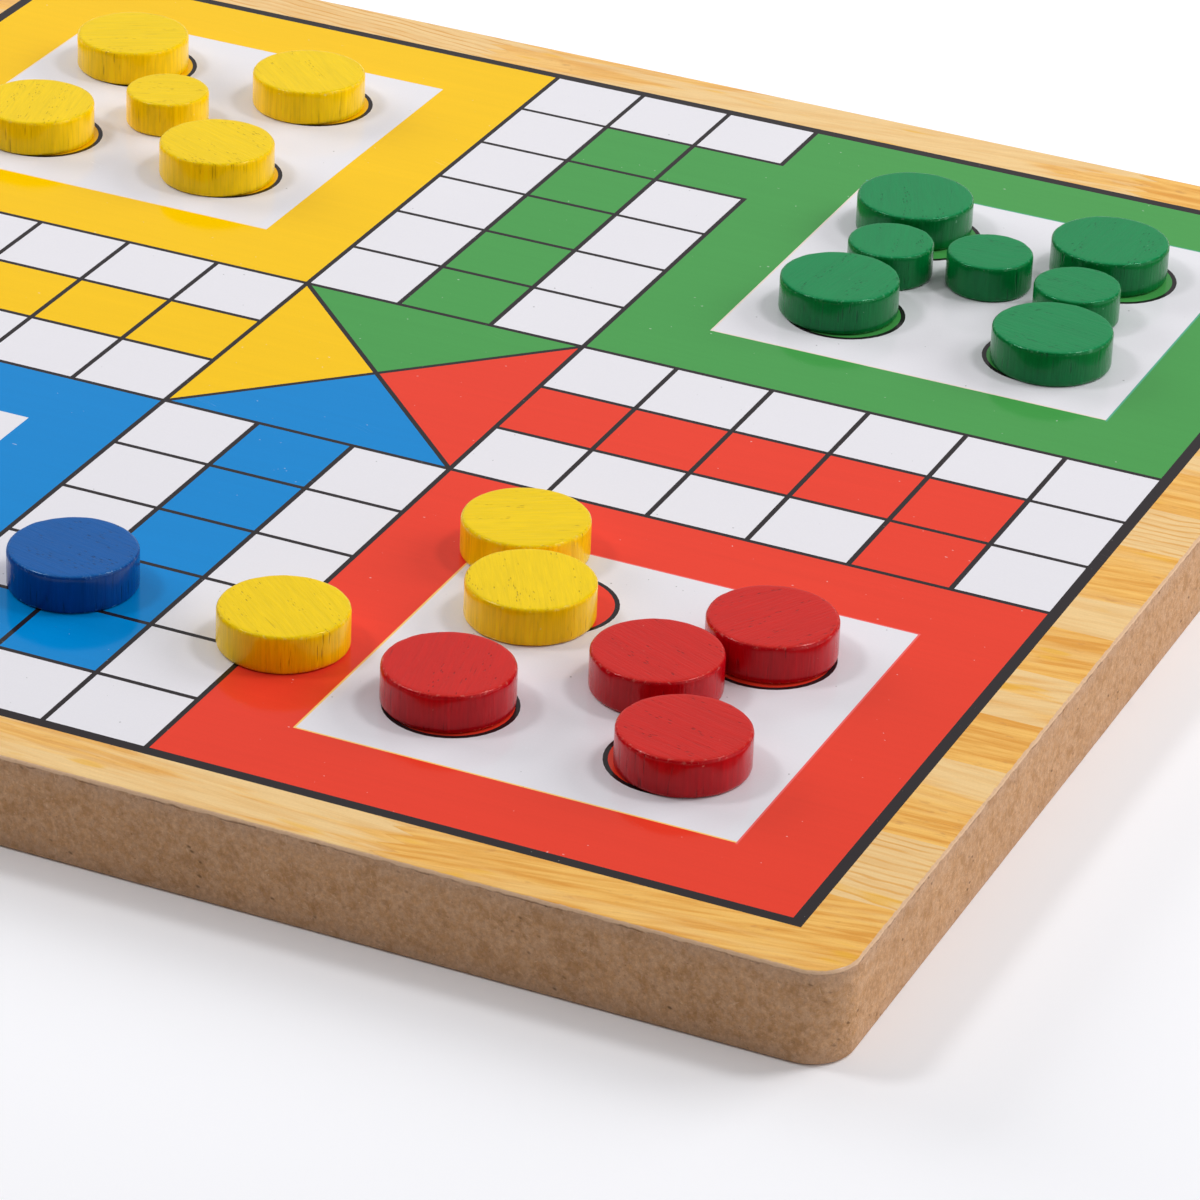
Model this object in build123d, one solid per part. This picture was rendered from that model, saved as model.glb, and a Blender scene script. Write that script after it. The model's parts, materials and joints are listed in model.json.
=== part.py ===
from build123d import *
import os
from math import atan2, ceil, cos, degrees, hypot, pi, radians, sin

# A two-sided board for ludo and for snakes and ladders, with its wooden tokens and a die.
# Millimetres. The board lies flat with its ludo face up. The origin is the centre of the
# underside, +X runs along the red arm of the ludo cross and +Y along the green arm.

os.makedirs("parts", exist_ok=True)

# Board
board_side = 330.0
board_thickness = 18.0
board_corner_radius = 8.0
board_arris_radius = 0.8

# Printed films, the same frame on both faces
film_thickness = 0.3
border_width = 13.5
frame_line = 2.3
grid_line = 1.05

# Tokens
large_token_diameter = 24.0
small_token_diameter = 17.5
token_thickness = 7.5
token_arris_radius = 0.6
touching_gap = 0.3

# Ludo face
house_cells = 6
track_lanes = 3
diagonal_line = 1.0
yard_circle_line = 0.9
yard_circle_clearance = 0.4
between_circles_clearance = 0.5
yard_margin = 8.2

# Snakes and ladders face
squares_across = 10
ladder_width = 13.0
ladder_rail = 1.8
ladder_rung = 1.6
ladder_rung_pitch = 8.0
snake_width = 7.0
snake_tail_width = 2.0
snake_head_length = 13.0
snake_head_width = 10.0
snake_sway = 6.5
snake_wave_length = 45.0

# Die
die_side = 14.0
die_edge_radius = 1.8
die_turn = 24.0
spot_diameter = 2.6
spot_depth = 0.6
spot_paint = 0.25
spot_margin = 0.2

# Worked out
top = board_thickness
printed_side = board_side - 2 * border_width
ludo_cell = printed_side / (2 * house_cells + track_lanes)
snakes_square = printed_side / squares_across
house_side = house_cells * ludo_cell
house_centre = (printed_side - house_side) / 2
goal_half = track_lanes * ludo_cell / 2
start_cell = goal_half + (house_cells - 1.5) * ludo_cell
yard_circle_diameter = large_token_diameter + yard_circle_clearance
yard_circle_offset = (yard_circle_diameter + small_token_diameter + between_circles_clearance) / 2
yard_side = 2 * yard_circle_offset + yard_circle_diameter + 2 * yard_margin
spot_pitch = die_side / 2 - die_edge_radius - spot_margin - spot_diameter / 2
colours = ("red", "green", "yellow", "blue")
arm_angle = {colour: 90 * quarter for quarter, colour in enumerate(colours)}
house_sign = {"red": (1, -1), "green": (1, 1), "yellow": (-1, 1), "blue": (-1, -1)}


def turned(shape, colour):
    """A shape drawn for the red arm, turned about the board's centre to another colour's arm."""
    return Rot(0, 0, arm_angle[colour]) * shape


def block(width, depth, x=0.0, y=0.0):
    """A flat rectangle by its sides and its centre."""
    return Pos(x, y) * Rectangle(width, depth)


def gathered(faces):
    """One flat sketch out of many faces."""
    return Sketch() + list(faces)


def ring(side, line):
    """A square frame whose line is centred on the given side."""
    return Rectangle(side + line, side + line) - Rectangle(side - line, side - line)


def bar(start, end, line):
    """A straight printed line between two points."""
    length = hypot(end[0] - start[0], end[1] - start[1])
    angle = degrees(atan2(end[1] - start[1], end[0] - start[0]))
    middle = Pos((start[0] + end[0]) / 2, (start[1] + end[1]) / 2)
    return middle * Rot(0, 0, angle) * Rectangle(length, line)


# Ludo face


def house_middle(colour):
    side_x, side_y = house_sign[colour]
    return side_x * house_centre, side_y * house_centre


def yard_circles(colour):
    """The four places where the tokens of one colour wait."""
    x, y = house_middle(colour)
    return [
        (x + side_x * yard_circle_offset, y + side_y * yard_circle_offset)
        for side_x in (-1, 1)
        for side_y in (-1, 1)
    ]


def arm_lines():
    """The lines of one arm: along its lanes and between its cells."""
    lane_edges = [lane * ludo_cell - goal_half for lane in range(track_lanes + 1)]
    long_lines = [block(house_side, grid_line, house_centre, edge) for edge in lane_edges]
    cross_lines = [
        block(grid_line, 2 * goal_half, goal_half + cell * ludo_cell, 0)
        for cell in range(house_cells)
    ]
    return long_lines + cross_lines


def ludo_lines():
    """All black printing of the ludo face, with the side of the green starting cell left open."""
    outer_radius = yard_circle_diameter / 2
    outline = Circle(outer_radius) - Circle(outer_radius - yard_circle_line)
    faces = [ring(printed_side, frame_line)]
    for colour in colours:
        faces += [turned(line, colour) for line in arm_lines()]
        faces += [Pos(*place) * outline for place in yard_circles(colour)]
    for side in (-1, 1):
        faces.append(bar((-goal_half, -side * goal_half), (goal_half, side * goal_half), diagonal_line))
    open_side = block(grid_line, ludo_cell - grid_line, goal_half, start_cell)
    return gathered(faces) - open_side


def colour_field(colour):
    """Everything printed in one colour: house, starting cell, home column, goal and circles."""
    middle = Pos(*house_middle(colour))
    band = middle * (Rectangle(house_side, house_side) - Rectangle(yard_side, yard_side))
    circles = [Pos(*place) * Circle(yard_circle_diameter / 2) for place in yard_circles(colour)]
    start = block(ludo_cell, ludo_cell, start_cell, -ludo_cell)
    column_length = (house_cells - 1) * ludo_cell
    column = block(column_length, ludo_cell, goal_half + column_length / 2, 0)
    goal = make_face(Polyline((0, 0), (goal_half, -goal_half), (goal_half, goal_half), close=True))
    on_the_cross = [turned(shape, colour) for shape in (start, column, goal)]
    return gathered([band] + circles + on_the_cross)


def ludo_fields():
    """The printed areas of the ludo face, by name, each cut back to the black lines."""
    lines = ludo_lines()
    coloured = {colour: colour_field(colour) for colour in colours}
    white = block(printed_side, printed_side) - gathered(coloured.values())
    fields = {"ludo_black_lines": lines, "ludo_white_areas": white - lines}
    for colour, field in coloured.items():
        fields[f"ludo_{colour}_areas"] = field - lines
    return fields


# Snakes and ladders face: drawn as it is read from below, then mirrored onto the underside

square_colours = ("white", "yellow", "red", "green", "blue")

# Foot and head of each ladder, head and tail of each snake: column and row from the lower left
ladders = [
    ((1, 0), (0, 2)),
    ((6, 0), (8, 3)),
    ((0, 4), (1, 6)),
    ((5, 2), (4, 5)),
    ((8, 5), (7, 8)),
    ((2, 6), (3, 9)),
]
snakes = [
    ((3, 4), (3, 1)),
    ((6, 7), (6, 3)),
    ((9, 8), (9, 5)),
    ((1, 9), (0, 7)),
    ((5, 9), (5, 6)),
    ((9, 3), (9, 0)),
]


def square_centre(column, row):
    first = (snakes_square - printed_side) / 2
    return first + column * snakes_square, first + row * snakes_square


def square_colour(column, row):
    """The colours step along each row and shift by two from row to row."""
    return square_colours[(column + 2 * row) % len(square_colours)]


def ladder_figure(foot, head):
    """Two rails with evenly spaced rungs between two squares."""
    x0, y0 = square_centre(*foot)
    x1, y1 = square_centre(*head)
    length = hypot(x1 - x0, y1 - y0)
    rail_place = (ladder_width - ladder_rail) / 2
    rung_count = int(length / ladder_rung_pitch)
    rung_places = [(i - (rung_count - 1) / 2) * ladder_rung_pitch for i in range(rung_count)]
    rails = [block(ladder_rail, length, side * rail_place, 0) for side in (-1, 1)]
    rungs = [block(ladder_width - ladder_rail, ladder_rung, 0, place) for place in rung_places]
    lean = degrees(atan2(y1 - y0, x1 - x0)) - 90
    return Pos((x0 + x1) / 2, (y0 + y1) / 2) * Rot(0, 0, lean) * gathered(rails + rungs)


def snake_flank(length, side):
    """Points down one flank of a swaying body that narrows to its tail. Its head is at 0, 0."""
    points = []
    steps = 8 * ceil(length / snake_wave_length)
    for step in range(steps + 1):
        along = step / steps
        phase = 2 * pi * along * length / snake_wave_length
        calm_ends = min(1.0, 4 * along, 4 * (1 - along) + 0.5)
        middle = snake_sway * sin(phase) * calm_ends
        slope = 2 * pi * snake_sway * cos(phase) / snake_wave_length
        half_width = (snake_width + (snake_tail_width - snake_width) * along ** 2) / 2
        across = half_width / hypot(1.0, slope)
        points.append((middle + side * across, side * across * slope - along * length))
    return points


def snake_figure(head, tail):
    """An oval head, a body along two smooth flanks and a pointed tail."""
    x0, y0 = square_centre(*head)
    x1, y1 = square_centre(*tail)
    length = hypot(x1 - x0, y1 - y0)
    left = snake_flank(length, -1)
    right = snake_flank(length, 1)
    tip = (0.0, -length - 2 * snake_tail_width)
    outline = Spline(*left) + Line(left[-1], tip) + Line(tip, right[-1])
    outline += Spline(*reversed(right)) + Line(right[0], left[0])
    skull = Ellipse(snake_head_width / 2, snake_head_length / 2)
    lean = degrees(atan2(y0 - y1, x0 - x1)) - 90
    return Pos(x0, y0) * Rot(0, 0, lean) * gathered([make_face(outline), skull])


def snakes_lines():
    """The frame line and the grid of the snakes and ladders face."""
    faces = [ring(printed_side, frame_line)]
    for index in range(1, squares_across):
        place = index * snakes_square - printed_side / 2
        faces.append(block(grid_line, printed_side, place, 0))
        faces.append(block(printed_side, grid_line, 0, place))
    return gathered(faces)


def snakes_fields():
    """The printed areas of the snakes and ladders face, by name, with the figures on top."""
    lines = snakes_lines()
    inside = block(printed_side - frame_line, printed_side - frame_line)
    all_snakes = gathered([snake_figure(*ends) for ends in snakes]) & inside
    all_ladders = (gathered([ladder_figure(*ends) for ends in ladders]) & inside) - all_snakes
    figures = gathered([all_ladders, all_snakes])
    fields = {
        "snakes_black_lines": lines - figures,
        "printed_ladders": all_ladders,
        "printed_snakes": all_snakes,
    }
    for colour in square_colours:
        squares = [
            block(snakes_square, snakes_square, *square_centre(column, row))
            for row in range(squares_across)
            for column in range(squares_across)
            if square_colour(column, row) == colour
        ]
        fields[f"snakes_{colour}_squares"] = (gathered(squares) & inside) - lines - figures
    return fields


# Board: the core and the films are cut from one rounded block, so their edges run on


def board_blank():
    plan = RectangleRounded(board_side, board_side, board_corner_radius)
    blank = extrude(plan, board_thickness)
    rims = blank.edges().group_by(Axis.Z)
    return fillet(rims[0] + rims[-1], board_arris_radius)


def slab(low, high):
    """Everything between two heights."""
    return Pos(0, 0, (low + high) / 2) * Box(2 * board_side, 2 * board_side, high - low)


def printed(sketch, low):
    """A printed area as a slice of the film, from its lower face."""
    return extrude(Pos(0, 0, low) * sketch, film_thickness)


def read_from_below(sketch):
    """Mirrors a drawing so that it reads the right way round from under the board."""
    return mirror(sketch, Plane.YZ)


def board_nodes():
    """The board's core and the printed areas of its two films."""
    blank = board_blank()
    under_film = top - film_thickness
    printed_field = block(printed_side + frame_line, printed_side + frame_line)
    nodes = {
        "board_core": blank & slab(film_thickness, under_film),
        "ludo_wood_border": (blank & slab(under_film, top)) - printed(printed_field, under_film),
        "snakes_wood_border": (blank & slab(0, film_thickness)) - printed(printed_field, 0),
    }
    for name, field in ludo_fields().items():
        nodes[name] = printed(field, under_film)
    for name, field in snakes_fields().items():
        nodes[name] = printed(read_from_below(field), 0)
    return nodes


# Tokens: turned wooden discs with a slightly rounded arris on both faces

# How far each waiting token has been pushed off the middle of its circle
pushed = {
    "red": [(-0.9, 0.8), None, (1.9, -0.4), (-0.3, 1.5)],
    "green": [(-1.7, 0.8), (-3.0, 2.7), (1.7, -0.8), (-2.4, 1.4)],
    "yellow": [(-1.4, -0.6), (-1.6, -0.4), (-1.2, -0.8), (-1.4, -0.6)],
    "blue": [(0.6, -0.8), (-0.7, 0.5), (0.9, 0.4), None],
}


def token(diameter, place):
    disc = Cylinder(diameter / 2, token_thickness, align=(Align.CENTER, Align.CENTER, Align.MIN))
    disc = fillet(disc.edges().filter_by(GeomType.CIRCLE), token_arris_radius)
    return Pos(*place, top) * disc


def moved(place, push):
    return place[0] + push[0], place[1] + push[1]


def beside(place, direction, apart):
    """A place at a distance from another, its direction in degrees from +X."""
    angle = radians(direction)
    return moved(place, (apart * cos(angle), apart * sin(angle)))


def on_cell(lane_x, lane_y):
    """A place counted in cells from the board's centre."""
    return lane_x * ludo_cell, lane_y * ludo_cell


def waiting(colour):
    """The tokens of one colour on the circles of their own yard."""
    return [
        moved(place, push)
        for place, push in zip(yard_circles(colour), pushed[colour])
        if push is not None
    ]


def large_places():
    """The large tokens: waiting, in play, or put down beside another."""
    places = {colour: waiting(colour) for colour in colours}
    far_red = places["red"][-1]
    places["red"].append(beside(far_red, 238.6, large_token_diameter + 3 * touching_gap))
    visitor = moved(yard_circles("red")[1], (-1.6, -6.2))
    companion = beside(visitor, 117.0, large_token_diameter + touching_gap)
    places["yellow"] += [on_cell(1.68, -5.25), visitor, companion]
    places["blue"].append(on_cell(-0.47, -5.15))
    return places


def small_places(large):
    """The small tokens: three between the green ones and one amid the yellow ones."""
    apart = (large_token_diameter + small_token_diameter) / 2 + 2 * touching_gap
    left = beside(large["green"][0], 83.3, apart)
    right = beside(large["green"][2], 97.1, apart)
    middle = moved(((left[0] + right[0]) / 2, (left[1] + right[1]) / 2), (-0.7, 5.5))
    amid = moved(house_middle("yellow"), (-1.8, -2.8))
    return {"green": [left, middle, right], "yellow": [amid]}


def token_nodes():
    large = large_places()
    sizes = {
        "large": (large_token_diameter, large),
        "small": (small_token_diameter, small_places(large)),
    }
    nodes = {}
    for size, (diameter, places) in sizes.items():
        for colour, colour_places in places.items():
            for number, place in enumerate(colour_places, 1):
                nodes[f"{size}_{colour}_token_{number}"] = token(diameter, place)
    return nodes


# Die: a cube with rounded edges, and for each spot a round hollow with paint in its bottom

spot_layouts = {
    1: [(0, 0)],
    2: [(-1, -1), (1, 1)],
    3: [(-1, -1), (0, 0), (1, 1)],
    4: [(-1, -1), (-1, 1), (1, -1), (1, 1)],
    5: [(-1, -1), (-1, 1), (1, -1), (1, 1), (0, 0)],
    6: [(-1, -1), (-1, 0), (-1, 1), (1, -1), (1, 0), (1, 1)],
}

# The turns about X and Y that bring the upper face to each side: opposite sides add up to seven
die_faces = {1: (0, 0), 6: (180, 0), 2: (90, 0), 5: (-90, 0), 3: (0, 90), 4: (0, -90)}


def die_nodes():
    """The die and its paint, in the middle of the blue yard."""
    cube = Box(die_side, die_side, die_side)
    cube = fillet(cube.edges(), die_edge_radius)
    ball_radius = ((spot_diameter / 2) ** 2 + spot_depth ** 2) / (2 * spot_depth)
    ball_height = die_side / 2 + ball_radius - spot_depth
    balls = [
        Rot(*turn, 0) * Pos(u * spot_pitch, v * spot_pitch, ball_height) * Sphere(ball_radius)
        for value, turn in die_faces.items()
        for u, v in spot_layouts[value]
    ]
    hollows = Part() + balls
    painted_side = die_side - 2 * (spot_depth - spot_paint)
    paint = hollows & Box(painted_side, painted_side, painted_side)
    place = Pos(*house_middle("blue"), top + die_side / 2) * Rot(0, 0, die_turn)
    return {"die": place * (cube - hollows), "die_spots": place * paint}


def write(nodes):
    for name, shape in nodes.items():
        export_step(shape, f"parts/{name}.step")


write(board_nodes())
write(token_nodes())
write(die_nodes())
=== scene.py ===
import bpy
import json
import random
from math import atan2, cos, pi, radians, sin
from mathutils import Matrix, Vector


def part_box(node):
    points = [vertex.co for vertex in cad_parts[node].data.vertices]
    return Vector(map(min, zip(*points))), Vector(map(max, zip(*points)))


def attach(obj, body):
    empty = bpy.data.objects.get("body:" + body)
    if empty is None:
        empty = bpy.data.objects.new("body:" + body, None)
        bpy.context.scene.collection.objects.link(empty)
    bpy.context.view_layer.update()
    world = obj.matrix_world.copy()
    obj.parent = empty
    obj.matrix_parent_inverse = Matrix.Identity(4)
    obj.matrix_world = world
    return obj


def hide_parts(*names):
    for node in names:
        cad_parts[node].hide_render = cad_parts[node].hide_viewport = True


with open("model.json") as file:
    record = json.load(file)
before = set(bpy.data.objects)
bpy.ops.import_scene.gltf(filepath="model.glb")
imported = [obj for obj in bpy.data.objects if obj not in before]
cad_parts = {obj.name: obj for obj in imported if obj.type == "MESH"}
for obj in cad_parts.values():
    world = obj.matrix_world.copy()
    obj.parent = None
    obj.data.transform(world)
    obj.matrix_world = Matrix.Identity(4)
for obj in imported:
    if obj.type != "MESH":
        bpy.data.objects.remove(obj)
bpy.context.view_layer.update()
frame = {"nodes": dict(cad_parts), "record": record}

# Sizes are in metres, in the board's own frame: its underside lies on z = 0 and its ludo face on top.
MM = 0.001
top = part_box("ludo_wood_border")[1][2]
board_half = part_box("board_core")[1][0]
corner_radius = 8 * MM
outer_line_half = 1.15 * MM
printed_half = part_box("ludo_black_lines")[1][0] - outer_line_half

# Ludo face: a square of cells with a house in each corner, and a white yard in the middle of each house
cells_across = 15
cells_of_house = 6
cell = 2 * printed_half / cells_across
house_middle = (cells_across - cells_of_house) / 2 * cell
yard_half = 41.6 * MM

# Underside: the squares of the snakes and ladders face
squares_across = 10
square = 2 * printed_half / squares_across


# Camera, at the place from which the board was looked at

camera_place = (0.440509, -0.916427, 0.510902)
camera_right = (0.91069489, 0.41125804, 0.03875108)
camera_up = (-0.22465491, 0.41437698, 0.88194211)
camera_back = (0.34664823, -0.81188579, 0.46976214)
sensor_width = 36.0
lens_length = 174.54


def set_camera():
    data = bpy.data.cameras.new("viewpoint")
    data.sensor_width = sensor_width
    data.lens = lens_length
    data.clip_start = 0.01
    data.clip_end = 20.0
    camera = bpy.data.objects.new("viewpoint", data)
    turn = Matrix((camera_right, camera_up, camera_back)).transposed().to_4x4()
    camera.matrix_world = Matrix.Translation(camera_place) @ turn
    bpy.context.collection.objects.link(camera)
    bpy.context.scene.camera = camera


# Recipes for finishes


def ink(code):
    """A colour written as six hexadecimal digits, as the shader wants it."""
    values = [int(code[i:i + 2], 16) / 255 for i in (0, 2, 4)]
    return tuple(v / 12.92 if v <= 0.04045 else ((v + 0.055) / 1.055) ** 2.4 for v in values) + (1.0,)


class Recipe:
    """A procedural material, with short ways to add each step of its recipe."""

    def __init__(self, name):
        self.material = bpy.data.materials.new(name)
        self.material.use_nodes = True
        self.nodes = self.material.node_tree.nodes
        self.links = self.material.node_tree.links
        self.shader = self.nodes["Principled BSDF"]
        self.place = self.add("TexCoord").outputs["Object"]

    def put(self, socket, value):
        """Links a socket to another, or gives it a plain value."""
        if isinstance(value, bpy.types.NodeSocket):
            self.links.new(value, socket)
        else:
            socket.default_value = value

    def add(self, kind, values=None, **settings):
        node = self.nodes.new("ShaderNode" + kind)
        for key, value in settings.items():
            setattr(node, key, value)
        for key, value in (values or {}).items():
            self.put(node.inputs[key], value)
        return node

    def sum(self, operation, *values):
        """The result of one step of arithmetic."""
        node = self.add("Math", operation=operation)
        for index, value in enumerate(values):
            self.put(node.inputs[index], value)
        return node.outputs[0]

    def parts(self, place):
        """The x, y and z of a place."""
        return self.add("SeparateXYZ", {0: place}).outputs

    def attribute(self, name):
        return self.add("Attribute", attribute_name=name).outputs["Vector"]

    def drawn_out(self, place, scales, turn=0.0):
        """The place turned about z, then scaled for a pattern that is longer one way."""
        if turn:
            turner = self.add("VectorRotate", {"Vector": place, "Angle": turn}, rotation_type="Z_AXIS")
            place = turner.outputs[0]
        return self.add("Mapping", {"Vector": place, "Scale": scales}).outputs[0]

    def noise(self, place, scale=1.0, detail=2.0, roughness=0.5, distortion=0.0):
        values = {"Vector": place, "Scale": scale, "Detail": detail, "Roughness": roughness,
                  "Distortion": distortion}
        return self.add("TexNoise", values).outputs["Fac"]

    def cells(self, place, scale=1.0, feature="F1", output="Distance"):
        values = {"Vector": place, "Scale": scale}
        return self.add("TexVoronoi", values, feature=feature).outputs[output]

    def between(self, value, low, high, start=0.0, end=1.0):
        """Smoothly from start to end while the value goes from low to high."""
        values = {"Value": value, "From Min": low, "From Max": high, "To Min": start, "To Max": end}
        return self.add("MapRange", values, interpolation_type="SMOOTHSTEP").outputs[0]

    def mix(self, share, first, second):
        """A plain value between two others."""
        return self.add("Mix", {0: share, 2: first, 3: second}, data_type="FLOAT").outputs[0]

    def blend(self, share, first, second):
        """A colour between two others."""
        node = self.add("Mix", data_type="RGBA")
        self.put(node.inputs[0], share)
        self.put(node.inputs[6], first)
        self.put(node.inputs[7], second)
        return node.outputs[2]

    def shaded(self, colour, shade):
        """A colour made lighter or darker."""
        node = self.add("VectorMath", operation="SCALE")
        self.put(node.inputs[0], colour[:3] if isinstance(colour, tuple) else colour)
        self.put(node.inputs["Scale"], shade)
        return node.outputs[0]

    def vary(self, *waves):
        """One, plus each noise about its middle times its weight."""
        total = 1.0
        for wave, weight in waves:
            total = self.sum("MULTIPLY_ADD", wave, weight, self.sum("ADD", total, -0.5 * weight))
        return total

    def bump(self, height, depth, strength=1.0):
        values = {"Height": height, "Distance": depth, "Strength": strength}
        return self.add("Bump", values).outputs[0]

    def finish(self, colour, roughness, normal=None, **constants):
        """The shader's colour, roughness and relief, and plain values for its other sockets."""
        self.put(self.shader.inputs["Base Color"], colour)
        self.put(self.shader.inputs["Roughness"], roughness)
        if normal is not None:
            self.put(self.shader.inputs["Normal"], normal)
        for name, value in constants.items():
            self.shader.inputs[name.replace("_", " ")].default_value = value
        return self.material


# The laminate over every print: its gloss, its faint unevenness and a few hairline scratches

laminate_gloss = 0.3
laminate_relief = 0.004 * MM
scratch_turn = 0.35
scratch_tone = (0.9, 0.9, 0.9, 1)
clear = (1, 1, 1, 1)


def laminate(recipe, colour, gloss_tone=clear):
    place = recipe.place
    smudges = recipe.noise(place, 60, 4, 0.6)
    fine = recipe.noise(place, 1500, 2)
    swell = recipe.noise(place, 160, 1)
    scratched = recipe.drawn_out(place, (9, 420, 40), scratch_turn)
    scratch_line = recipe.sum("ABSOLUTE", recipe.sum("SUBTRACT", recipe.noise(scratched, 1, 1), 0.5))
    sparse = recipe.between(recipe.noise(place, 55, 1), 0.68, 0.72)
    scratch = recipe.sum("MULTIPLY", recipe.between(scratch_line, 0.0, 0.003, 1.0, 0.0), sparse)
    roughness = recipe.sum("MULTIPLY_ADD", smudges, 0.07, 0.08)
    roughness = recipe.sum("MULTIPLY_ADD", scratch, 0.25, roughness)
    height = recipe.sum("MULTIPLY_ADD", fine, 0.25, swell)
    height = recipe.sum("MULTIPLY_ADD", scratch, -0.4, height)
    normal = recipe.bump(height, laminate_relief, 0.5)
    worn = recipe.blend(recipe.sum("MULTIPLY", scratch, 0.07), colour, scratch_tone)
    return recipe.finish(worn, roughness, normal, Specular_IOR_Level=laminate_gloss, Specular_Tint=gloss_tone)


def print_shade(recipe, streaks_weight=0.05, cloud_weight=0.05):
    """The slight unevenness of a printed area: cloudy, grainy and drawn out along the press's way."""
    place = recipe.place
    cloudy = recipe.noise(place, 28, 3)
    grainy = recipe.noise(place, 2600, 3, 0.7)
    streaks = recipe.noise(recipe.drawn_out(place, (16, 620, 20)), 1, 4, 0.7)
    return recipe.vary((cloudy, cloud_weight), (grainy, 0.07), (streaks, streaks_weight))


def specks(recipe, scale=1300, level=0.88):
    """A few tiny missed dots in the ink, fewer at a higher level."""
    return recipe.between(recipe.noise(recipe.place, scale, 0), level, level + 0.02)


# The yellow ink was printed a little out of line with the other colours. It leaves a yellow fringe on two
# sides of each white yard, strongest in the red house, and misses a thin strip on the two other sides.

misprint = 0.36 * MM
misprint_fade = 0.05 * MM
fringe_least = 0.25
fringe_more_on_red = 0.6
red_house_start = 100 * MM
house_edge = 0.1 * MM


def house_place(recipe):
    """A place, the same place as seen from the middle of its house, and whether it is on the ludo face."""
    x, y, z = recipe.parts(recipe.place)[:3]
    on_top = recipe.sum("GREATER_THAN", z, top / 2)
    own_x = recipe.sum("MULTIPLY_ADD", recipe.sum("SIGN", x), -house_middle, x)
    own_y = recipe.sum("MULTIPLY_ADD", recipe.sum("SIGN", y), -house_middle, y)
    return x, y, own_x, own_y, on_top


def strip(recipe, across, along, low, high, reach):
    """One inside a straight strip, nothing outside."""
    fade = misprint_fade
    inside = recipe.between(across, low - fade, low)
    inside = recipe.sum("MULTIPLY", inside, recipe.between(across, high, high + fade, 1.0, 0.0))
    near = recipe.between(recipe.sum("ABSOLUTE", along), reach, reach + fade, 1.0, 0.0)
    return recipe.sum("MULTIPLY", inside, near)


def white_print(name, tone):
    """White, with the fringe of yellow ink and a little dark dust."""
    recipe = Recipe(name)
    x, y, own_x, own_y, on_top = house_place(recipe)
    left = strip(recipe, own_x, own_y, -yard_half, misprint - yard_half, yard_half)
    near = strip(recipe, own_y, own_x, -yard_half, misprint - yard_half, yard_half)
    fringe = recipe.sum("MAXIMUM", left, near)
    no_blue_house = recipe.between(recipe.sum("MAXIMUM", x, y), -house_edge, house_edge)
    red_house = recipe.sum("GREATER_THAN", recipe.sum("SUBTRACT", x, y), red_house_start)
    strength = recipe.sum("MULTIPLY_ADD", red_house, fringe_more_on_red, fringe_least)
    fringe = recipe.sum("MULTIPLY", recipe.sum("MULTIPLY", fringe, no_blue_house), strength)
    fringe = recipe.sum("MULTIPLY", fringe, on_top)
    paper = recipe.shaded(tone, print_shade(recipe, 0.01, 0.03))
    colour = recipe.blend(fringe, paper, ink("FFC648"))
    dust = recipe.between(recipe.noise(recipe.place, 1100, 0), 0.872, 0.885, 0.0, 0.55)
    return laminate(recipe, recipe.blend(dust, colour, ink("4B4648")))


def colour_print(name, tone, gloss_tone, fringe_tone=None):
    """One printed colour. Its fringe is the strip that the yellow ink missed."""
    recipe = Recipe(name)
    colour = recipe.shaded(tone, print_shade(recipe, 0.10))
    colour = recipe.blend(recipe.sum("MULTIPLY", specks(recipe), 0.35), colour, (0.9, 0.9, 0.88, 1))
    if fringe_tone:
        own_x, own_y, on_top = house_place(recipe)[2:]
        outer = yard_half + misprint
        right = strip(recipe, own_x, own_y, yard_half, outer, outer)
        far = strip(recipe, own_y, own_x, yard_half, outer, outer)
        weight = recipe.sum("MULTIPLY", on_top, 0.7)
        missed = recipe.sum("MULTIPLY", recipe.sum("MAXIMUM", right, far), weight)
        colour = recipe.blend(missed, colour, fringe_tone)
    return laminate(recipe, colour, gloss_tone)


def line_print(name, tone):
    """The dark ink of the lines, streakier than the colours."""
    recipe = Recipe(name)
    colour = recipe.shaded(tone, print_shade(recipe, 0.25))
    missed = recipe.sum("MULTIPLY", specks(recipe, 1900, 0.86), 0.35)
    colour = recipe.blend(missed, colour, (0.6, 0.58, 0.56, 1))
    return laminate(recipe, colour)


# The wood-look border: a print of narrow staves along x, finger-jointed end to end. The edges between the
# staves are in millimetres from the middle. A tone gives the look of the last piece of its stave, at the
# right: below a quarter it is pale with year lines, up to about a half mixed, and above that golden.

stave_edges = [-151.8, -141.6, -118.0, -105.0, -90.0, -71.0, -53.0, -36.0, -20.0, 1.0, 17.0, 34.0, 55.0, 72.0,
               91.0, 104.0, 124.0, 139.0, 151.8]
stave_tones = [0.82, 0.80, 0.14, 0.70, 0.36, 0.90, 0.40, 0.64, 0.30, 0.84, 0.12, 0.72, 0.38, 0.66, 0.35, 0.88,
               0.26, 0.62, 0.92]
stave_length = 150 * MM
first_joint = 84 * MM
finger_half = 1.5 * MM
finger_slope = 3.2
joint_line = 0.24 * MM
year_line_pitch = 2.1 * MM

# These only scatter the joints and the looks of the pieces
joint_scatter = 11.3
own_scatter = 5.1
own_step = 0.37
look_step = 0.4

# The print was trimmed a little unevenly where the laminate meets the arris
trim_outer = 0.68 * MM
trim_inner = 0.84 * MM
trim_unevenness = 0.5 * MM


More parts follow.
